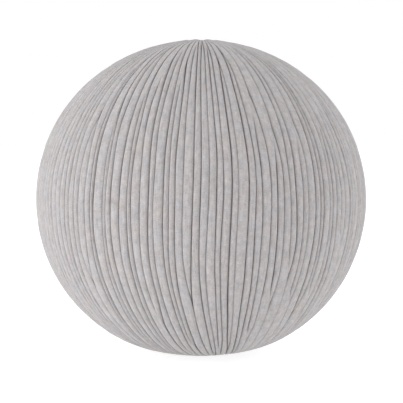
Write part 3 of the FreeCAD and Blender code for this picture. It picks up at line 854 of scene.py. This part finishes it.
strand_group, given_in, made_out = new_group(
    "strands", {"Place": (0.0, 0.0, 0.0), "Turns": 900.0},
    {"Shade": "NodeSocketFloat", "Height": "NodeSocketFloat"})
spread = add_node(strand_group, "ShaderNodeSeparateXYZ", Vector=given_in["Place"])
slant = Value(strand_group, spread.outputs["Z"]) + Value(strand_group, spread.outputs["X"]) * 0.7
slant = slant + Value(strand_group, spread.outputs["Y"]) * 0.7
twist = (slant * given_in["Turns"] * math.tau).math("SINE")
fluff = shader_noise(strand_group, given_in["Place"], 2500, 2) - 0.5
feed(strand_group, made_out["Shade"], twist * 0.12 + fluff * 0.5)
feed(strand_group, made_out["Height"], twist * 0.5 + 0.5 + fluff * 0.4)

scuff_group, given_in, made_out = new_group(
    "scuffs", {"Place": (0.0, 0.0, 0.0), "Colour": (0.5, 0.5, 0.5, 1.0), "Worn": (0.7, 0.7, 0.7, 1.0),
               "Roughness": 0.4},
    {"Colour": "NodeSocketColor", "Roughness": "NodeSocketFloat", "Height": "NodeSocketFloat"})
scratches = shader_noise(scuff_group, given_in["Place"], 1400, 4, (1, 9, 5))
smudges = shader_noise(scuff_group, given_in["Place"], 300, 3)
rubbed = scratches.rise(0.56, 0.72) * 0.5 + smudges.rise(0.5, 0.75) * 0.3
worn_mix = add_node(scuff_group, "ShaderNodeMix", {"data_type": "RGBA"})
feed(scuff_group, worn_mix.inputs["Factor"], rubbed)
feed(scuff_group, worn_mix.inputs[6], given_in["Colour"])
feed(scuff_group, worn_mix.inputs[7], given_in["Worn"])
feed(scuff_group, made_out["Colour"], worn_mix.outputs[2])
feed(scuff_group, made_out["Roughness"], Value(scuff_group, given_in["Roughness"]) + (smudges - 0.5) * 0.25)
feed(scuff_group, made_out["Height"], scratches * -0.6 + smudges * 0.4)
print("groups:", nap_group.name, fold_group.name, weave_group.name, strand_group.name, scuff_group.name)

# %% Cover
cloth, cloth_tree, cloth_shader = new_material("pleated_cloth")
cloth_place = read_attribute(cloth_tree, "cloth", "Vector")
groove_share = read_attribute(cloth_tree, "groove", "Fac")
nap = use_group(cloth_tree, nap_group, Place=cloth_place)
tone = use_group(cloth_tree, fold_group, Colour=(0.382, 0.364, 0.367, 1), Shade=nap.outputs["Shade"],
                 Tint=nap.outputs["Tint"], Fold=groove_share)
dress(cloth_tree, cloth_shader, tone.outputs["Colour"], nap.outputs["Height"], 0.8, 0.5 * MM)
cloth_shader.inputs["Roughness"].default_value = 0.92
cloth_shader.inputs["Sheen Weight"].default_value = 0.12
cloth_shader.inputs["Sheen Roughness"].default_value = 0.6
cloth_shader.inputs["Specular IOR Level"].default_value = 0.25
cover_mesh = run_tree(form, tree, {"Cloth": cloth})
cover = bpy.data.objects.new("pleated_cover_cloth", cover_mesh)
bpy.context.collection.objects.link(cover)
bpy.data.objects.remove(form)
print("cover:", len(cover_mesh.vertices), "vertices", len(cover_mesh.polygons), "faces")
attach(cover, "ball")
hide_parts("pleated_cover")

# %% [markdown]
# ## Covered buttons
# A button sits in the hollow at each pole. Its cloth is drawn over a domed shell and gathered underneath, so
# it is smooth in the middle and puckers towards the rim. The outline goes over the dome, round the rim and
# back inside, so that the cloth has its real thickness.

# %% Buttons
BUTTON_RADIUS = 9.6 * MM
BUTTON_HEIGHT = 4.2 * MM
BUTTON_CLOTH = 0.6 * MM
BUTTON_SEGMENTS = 168
PUCKERS = 42


def dome_line(radius, height, steps):
    """(radius, height) from the middle of a spherical cap down to its edge."""
    sphere = (radius ** 2 + height ** 2) / (2 * height)
    edge = math.asin(radius / sphere)
    return [(sphere * math.sin(edge * i / steps), height - sphere * (1 - math.cos(edge * i / steps)))
            for i in range(steps + 1)]


def button_cap(name, middle, up, seed):
    """A cloth cap on the level of middle, its dome towards up (1 or -1)."""
    inner = BUTTON_RADIUS - BUTTON_CLOTH
    outline = dome_line(BUTTON_RADIUS - 0.2 * MM, BUTTON_HEIGHT - 0.12 * MM, 22)
    rim = (BUTTON_RADIUS - 0.2 * MM + 0.1 * MM * math.sin(0.4), -0.02 * MM)
    inside = dome_line(inner, BUTTON_HEIGHT - BUTTON_CLOTH, 10)
    outline = outline[:-1] + [rim] + inside[::-1]
    rng = np.random.default_rng(seed)
    wobble = rng.uniform(-0.8, 0.8, PUCKERS)
    depth = rng.uniform(0.5, 1.0, PUCKERS)
    around = np.linspace(0, 2 * math.pi, BUTTON_SEGMENTS, endpoint=False)
    which = (around / (2 * math.pi) * PUCKERS).astype(int) % PUCKERS
    pucker = np.abs(np.sin(around * PUCKERS / 2 + wobble[which] * 0.12)) ** 0.6
    points = []
    for row, (r, h) in enumerate(outline):
        outside = row < len(outline) - len(inside)
        fold = (r / BUTTON_RADIUS) ** 5 * 0.32 * MM * (1 - pucker) * depth[which] if outside else 0 * around
        reach = np.maximum(r - fold, 0.0)
        level = middle[2] + up * np.maximum(h - fold * 0.6, -0.02 * MM)
        points += list(zip(middle[0] + reach * np.cos(around), middle[1] + reach * np.sin(around), level))
    faces = []
    for row in range(len(outline) - 1):
        for i in range(BUTTON_SEGMENTS):
            a, b = row * BUTTON_SEGMENTS + i, row * BUTTON_SEGMENTS + (i + 1) % BUTTON_SEGMENTS
            faces.append((a, a + BUTTON_SEGMENTS, b + BUTTON_SEGMENTS, b))
    cap = new_object(name, points, faces, button_cloth)
    weld(cap)
    return cap


def weld(made, distance=0.01 * MM):
    """Merges doubled points, drops what collapsed and turns the faces outwards."""
    shape = bmesh.new()
    shape.from_mesh(made.data)
    bmesh.ops.remove_doubles(shape, verts=shape.verts, dist=distance)
    bmesh.ops.dissolve_degenerate(shape, edges=shape.edges, dist=distance)
    bmesh.ops.recalc_face_normals(shape, faces=shape.faces)
    shape.to_mesh(made.data)
    shape.free()


button_cloth, button_tree, button_shader = new_material("button_cloth")
button_place = object_place(button_tree)
button_nap = use_group(button_tree, nap_group, Place=button_place, Streaks=0.0)
button_weave = use_group(button_tree, weave_group, Place=button_place, Threads=1800.0)
button_tone = use_group(button_tree, fold_group, Colour=(0.43, 0.41, 0.415, 1),
                        Shade=button_nap.outputs["Shade"], Tint=button_nap.outputs["Tint"])
button_height = Value(button_tree, button_nap.outputs["Height"]) * 0.4 + button_weave.outputs["Height"]
dress(button_tree, button_shader, button_tone.outputs["Colour"], button_height, 0.5, 0.25 * MM)
button_shader.inputs["Roughness"].default_value = 0.88
button_shader.inputs["Sheen Weight"].default_value = 0.12
for pole, up, seed in (("crown", 1, 3), ("base", -1, 5)):
    button_low, button_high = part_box(f"{pole}_button_cloth")
    level = button_low[2] if up > 0 else button_high[2]
    middle = ((button_low[0] + button_high[0]) / 2, (button_low[1] + button_high[1]) / 2, level)
    cap = button_cap(f"{pole}_button_cap", middle, up, seed)
    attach(cap, "ball")
    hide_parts(f"{pole}_button_cloth")
    print(cap.name, len(cap.data.polygons), "faces")

# %% [markdown]
# ## The zip
# The zip is bent round the back of the ball, so every part of it is placed by an angle on one circle. Each
# tooth is a small moulded clamp with a nib on its inner end; the tree sets one after another along the
# circle. The slider and its pull are the CAD shapes with their edges eased, as die-cast metal has them.

# %% Zip sizes
TAPE_MIDDLE = 4.35 * MM
TOOTH_PITCH = 2.5 * MM
TOOTH_COUNT = 75
TOOTH_SIZE = (2.2 * MM, 2.5 * MM, 1.5 * MM)      # across, outward, along
TOOTH_INNER = 0.75 * MM                          # from the zip's middle to the row
TEETH_RUN = 188 * MM


def tooth_shape(side):
    """One tooth about its own middle: x across, y outward, z along."""
    shape = bmesh.new()
    bmesh.ops.create_cube(shape, size=1)
    bmesh.ops.scale(shape, verts=shape.verts, vec=TOOTH_SIZE)
    head = next(f for f in shape.faces if f.normal.x < -0.9)
    bmesh.ops.inset_region(shape, faces=[head], thickness=0.38 * MM, depth=0.0)
    bmesh.ops.translate(shape, verts=head.verts, vec=(0.22 * MM, 0, 0))
    edges = [e for e in shape.edges if e.calc_face_angle(0) > 0.9 and e.calc_length() > 1.2 * MM]
    bmesh.ops.bevel(shape, geom=edges, offset=0.28 * MM, segments=1, profile=0.5, affect="EDGES")
    if side < 0:
        bmesh.ops.scale(shape, verts=shape.verts, vec=(-1, 1, 1))
    bmesh.ops.recalc_face_normals(shape, faces=shape.faces)
    mesh = bpy.data.meshes.new("tooth")
    shape.to_mesh(mesh)
    shape.free()
    return mesh


teeth_sizes = {"Count": TOOTH_COUNT, "Pitch": TOOTH_PITCH, "Run": TEETH_RUN,
               "Radius": SIDE_RADIUS - TAPE_MIDDLE, "Surface radius": SIDE_RADIUS, "Side": 1.0,
               "Off middle": TOOTH_INNER + TOOTH_SIZE[0] / 2, "Centre back": SIDE_INSET,
               "Centre height": WAIST, "Plastic": "material"}
teeth_tree, given, made = new_tree("zip_teeth", teeth_sizes)
size = {name: Value(teeth_tree, given[name]) for name in teeth_sizes}
tooth_number = Value(teeth_tree, teeth_tree.nodes.new("GeometryNodeInputIndex").outputs[0])
along = size["Run"] * -0.5 + (tooth_number + 0.5 - size["Side"] * 0.25) * size["Pitch"]
turn = along / size["Surface radius"]
spot = add_node(teeth_tree, "ShaderNodeCombineXYZ", X=size["Side"] * size["Off middle"],
                Y=size["Centre back"] + turn.math("COSINE") * size["Radius"],
                Z=size["Centre height"] + turn.math("SINE") * size["Radius"])
spots = add_node(teeth_tree, "GeometryNodePoints", Count=size["Count"], Position=spot.outputs[0])
tip = add_node(teeth_tree, "ShaderNodeCombineXYZ", X=turn)
placed = add_node(teeth_tree, "GeometryNodeInstanceOnPoints", Points=spots.outputs[0],
                  Instance=given["Geometry"], Rotation=tip.outputs[0])
real = add_node(teeth_tree, "GeometryNodeRealizeInstances", Geometry=placed.outputs[0])
dressed = add_node(teeth_tree, "GeometryNodeSetMaterial", Geometry=real.outputs[0], Material=given["Plastic"])
teeth_tree.links.new(dressed.outputs[0], made["Geometry"])


def scuffed_material(name, colour, worn, roughness, metallic, bump=0.25):
    """A smooth hard surface with faint scratches and wear."""
    material, tree, shader = new_material(name)
    scuffs = use_group(tree, scuff_group, Place=object_place(tree), Colour=colour, Worn=worn,
                       Roughness=roughness)
    dress(tree, shader, scuffs.outputs["Colour"], scuffs.outputs["Height"], bump, 0.1 * MM)
    tree.links.new(scuffs.outputs["Roughness"], shader.inputs["Roughness"])
    shader.inputs["Metallic"].default_value = metallic
    return material


teeth_plastic = scuffed_material("moulded_teeth", (0.2, 0.192, 0.19, 1), (0.3, 0.29, 0.287, 1), 0.4, 0.0, 0.3)
for side, word in ((1, "right"), (-1, "left")):
    host = bpy.data.objects.new("tooth", tooth_shape(side))
    bpy.context.collection.objects.link(host)
    row_mesh = run_tree(host, teeth_tree, {"Plastic": teeth_plastic}, Side=float(side))
    bpy.data.objects.remove(host)
    teeth_row = bpy.data.objects.new(f"teeth_row_{word}", row_mesh)
    bpy.context.collection.objects.link(teeth_row)
    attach(teeth_row, "ball")
    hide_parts(f"zip_teeth_{word}")
    print(teeth_row.name, len(row_mesh.polygons), "faces")

# %% Slider and pull
zip_metal = scuffed_material("zip_metal", (0.36, 0.345, 0.342, 1), (0.62, 0.61, 0.6, 1), 0.34, 0.75)


def eased_copy(node, name, width, material):
    """A CAD node's shape with its sharp edges rounded."""
    piece = bpy.data.objects.new(name, frame["nodes"][node].data.copy())
    bpy.context.collection.objects.link(piece)
    weld(piece)
    piece.data.materials.clear()
    piece.data.materials.append(material)
    bevel = piece.modifiers.new("eased", "BEVEL")
    bevel.width = width
    bevel.segments = 2
    bevel.limit_method = "ANGLE"
    bevel.angle_limit = math.radians(40)
    graph = bpy.context.evaluated_depsgraph_get()
    rounded = bpy.data.meshes.new_from_object(piece.evaluated_get(graph))
    piece.modifiers.remove(bevel)
    piece.data = rounded
    return piece


for node, body in (("zip_slider", "slider"), ("zip_pull", "pull")):
    piece = eased_copy(node, f"{node}_eased", 0.16 * MM, zip_metal)
    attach(piece, body)
    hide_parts(node)
    print(piece.name, len(piece.data.polygons), "faces")

# %% [markdown]
# ## The pieces inside
# The liner, its filling, the washers, the button shells and the cords are seen only when the cover is off,
# and their CAD shapes are right as they are, so each gets a material of its own and nothing else.


# %% Materials for the CAD pieces
def cloth_material(name, colour, threads, patches, roughness, place=None):
    """A plain woven cloth: a nap, with threads over it."""
    material, tree, shader = new_material(name)
    where = place(tree) if place else object_place(tree)
    nap = use_group(tree, nap_group, Place=where, Patches=patches, Streaks=0.0)
    weave = use_group(tree, weave_group, Place=where, Threads=threads)
    shade = Value(tree, nap.outputs["Shade"]) * 0.6 + weave.outputs["Shade"]
    tone = use_group(tree, fold_group, Colour=colour, Shade=shade, Tint=nap.outputs["Tint"])
    dress(tree, shader, tone.outputs["Colour"], weave.outputs["Height"], 0.5, 0.2 * MM)
    shader.inputs["Roughness"].default_value = roughness
    return material


def twine_material():
    """Twisted strands under a thin coat of wax."""
    material, tree, shader = new_material("waxed_twine")
    strands = use_group(tree, strand_group, Place=object_place(tree), Turns=900.0)
    tone = use_group(tree, fold_group, Colour=(0.62, 0.6, 0.56, 1), Shade=strands.outputs["Shade"])
    dress(tree, shader, tone.outputs["Colour"], strands.outputs["Height"], 0.6, 0.2 * MM)
    shader.inputs["Roughness"].default_value = 0.5
    shader.inputs["Coat Weight"].default_value = 0.2
    return material


def fibre_material():
    """Loose crimped fibre: long soft wisps that run every way."""
    material, tree, shader = new_material("fibre_filling")
    where = object_place(tree)
    wisps = shader_noise(tree, where, 240, 6, (1, 3, 1)) + shader_noise(tree, where, 190, 6, (3, 1, 1)) - 1
    tone = use_group(tree, fold_group, Colour=(0.84, 0.84, 0.83, 1), Shade=wisps * 0.8)
    dress(tree, shader, tone.outputs["Colour"], wisps, 1.0, 2 * MM)
    shader.inputs["Roughness"].default_value = 1.0
    return material


def zip_place(tree):
    """Distance across and along the zip, for a weave that follows its bend."""
    parts = add_node(tree, "ShaderNodeSeparateXYZ", Vector=object_place(tree))
    back = Value(tree, parts.outputs["Y"]) - SIDE_INSET
    rise = Value(tree, parts.outputs["Z"]) - WAIST
    along = rise.math("ARCTAN2", back) * SIDE_RADIUS
    return add_node(tree, "ShaderNodeCombineXYZ", X=parts.outputs["X"], Y=along).outputs[0]


finishes = {
    "liner": cloth_material("liner_cloth", (0.72, 0.71, 0.68, 1), 900.0, 0.5, 0.85),
    "filling": fibre_material(),
    "tape": cloth_material("tape_weave", (0.27, 0.257, 0.256, 1), 1300.0, 0.3, 0.8, zip_place),
    "label": cloth_material("label_cloth", (0.8, 0.8, 0.79, 1), 2600.0, 0.2, 0.45, zip_place),
    "stop": zip_metal,
    "shell": scuffed_material("button_metal", (0.56, 0.57, 0.58, 1), (0.7, 0.7, 0.7, 1), 0.3, 1.0),
    "washer": scuffed_material("washer_plastic", (0.66, 0.66, 0.64, 1), (0.72, 0.72, 0.7, 1), 0.5, 0.0),
    "twine": twine_material(),
}
finish_words = {"liner": "liner", "filling": "filling", "tape": "tape", "care_label": "label",
                "stop": "stop", "shell": "shell", "back": "shell", "twine": "twine",
                "gather_cord": "twine", "washer": "washer"}
replaced = ("pleated_cover", "_button_cloth", "zip_teeth", "zip_slider", "zip_pull")
for name, node in frame["nodes"].items():
    if any(word in name for word in replaced):
        continue
    word = next(w for w in ("washer", *finish_words) if w in name)
    node.data.materials.clear()
    node.data.materials.append(finishes[finish_words[word]])
print(len(finishes), "finishes on the CAD pieces")
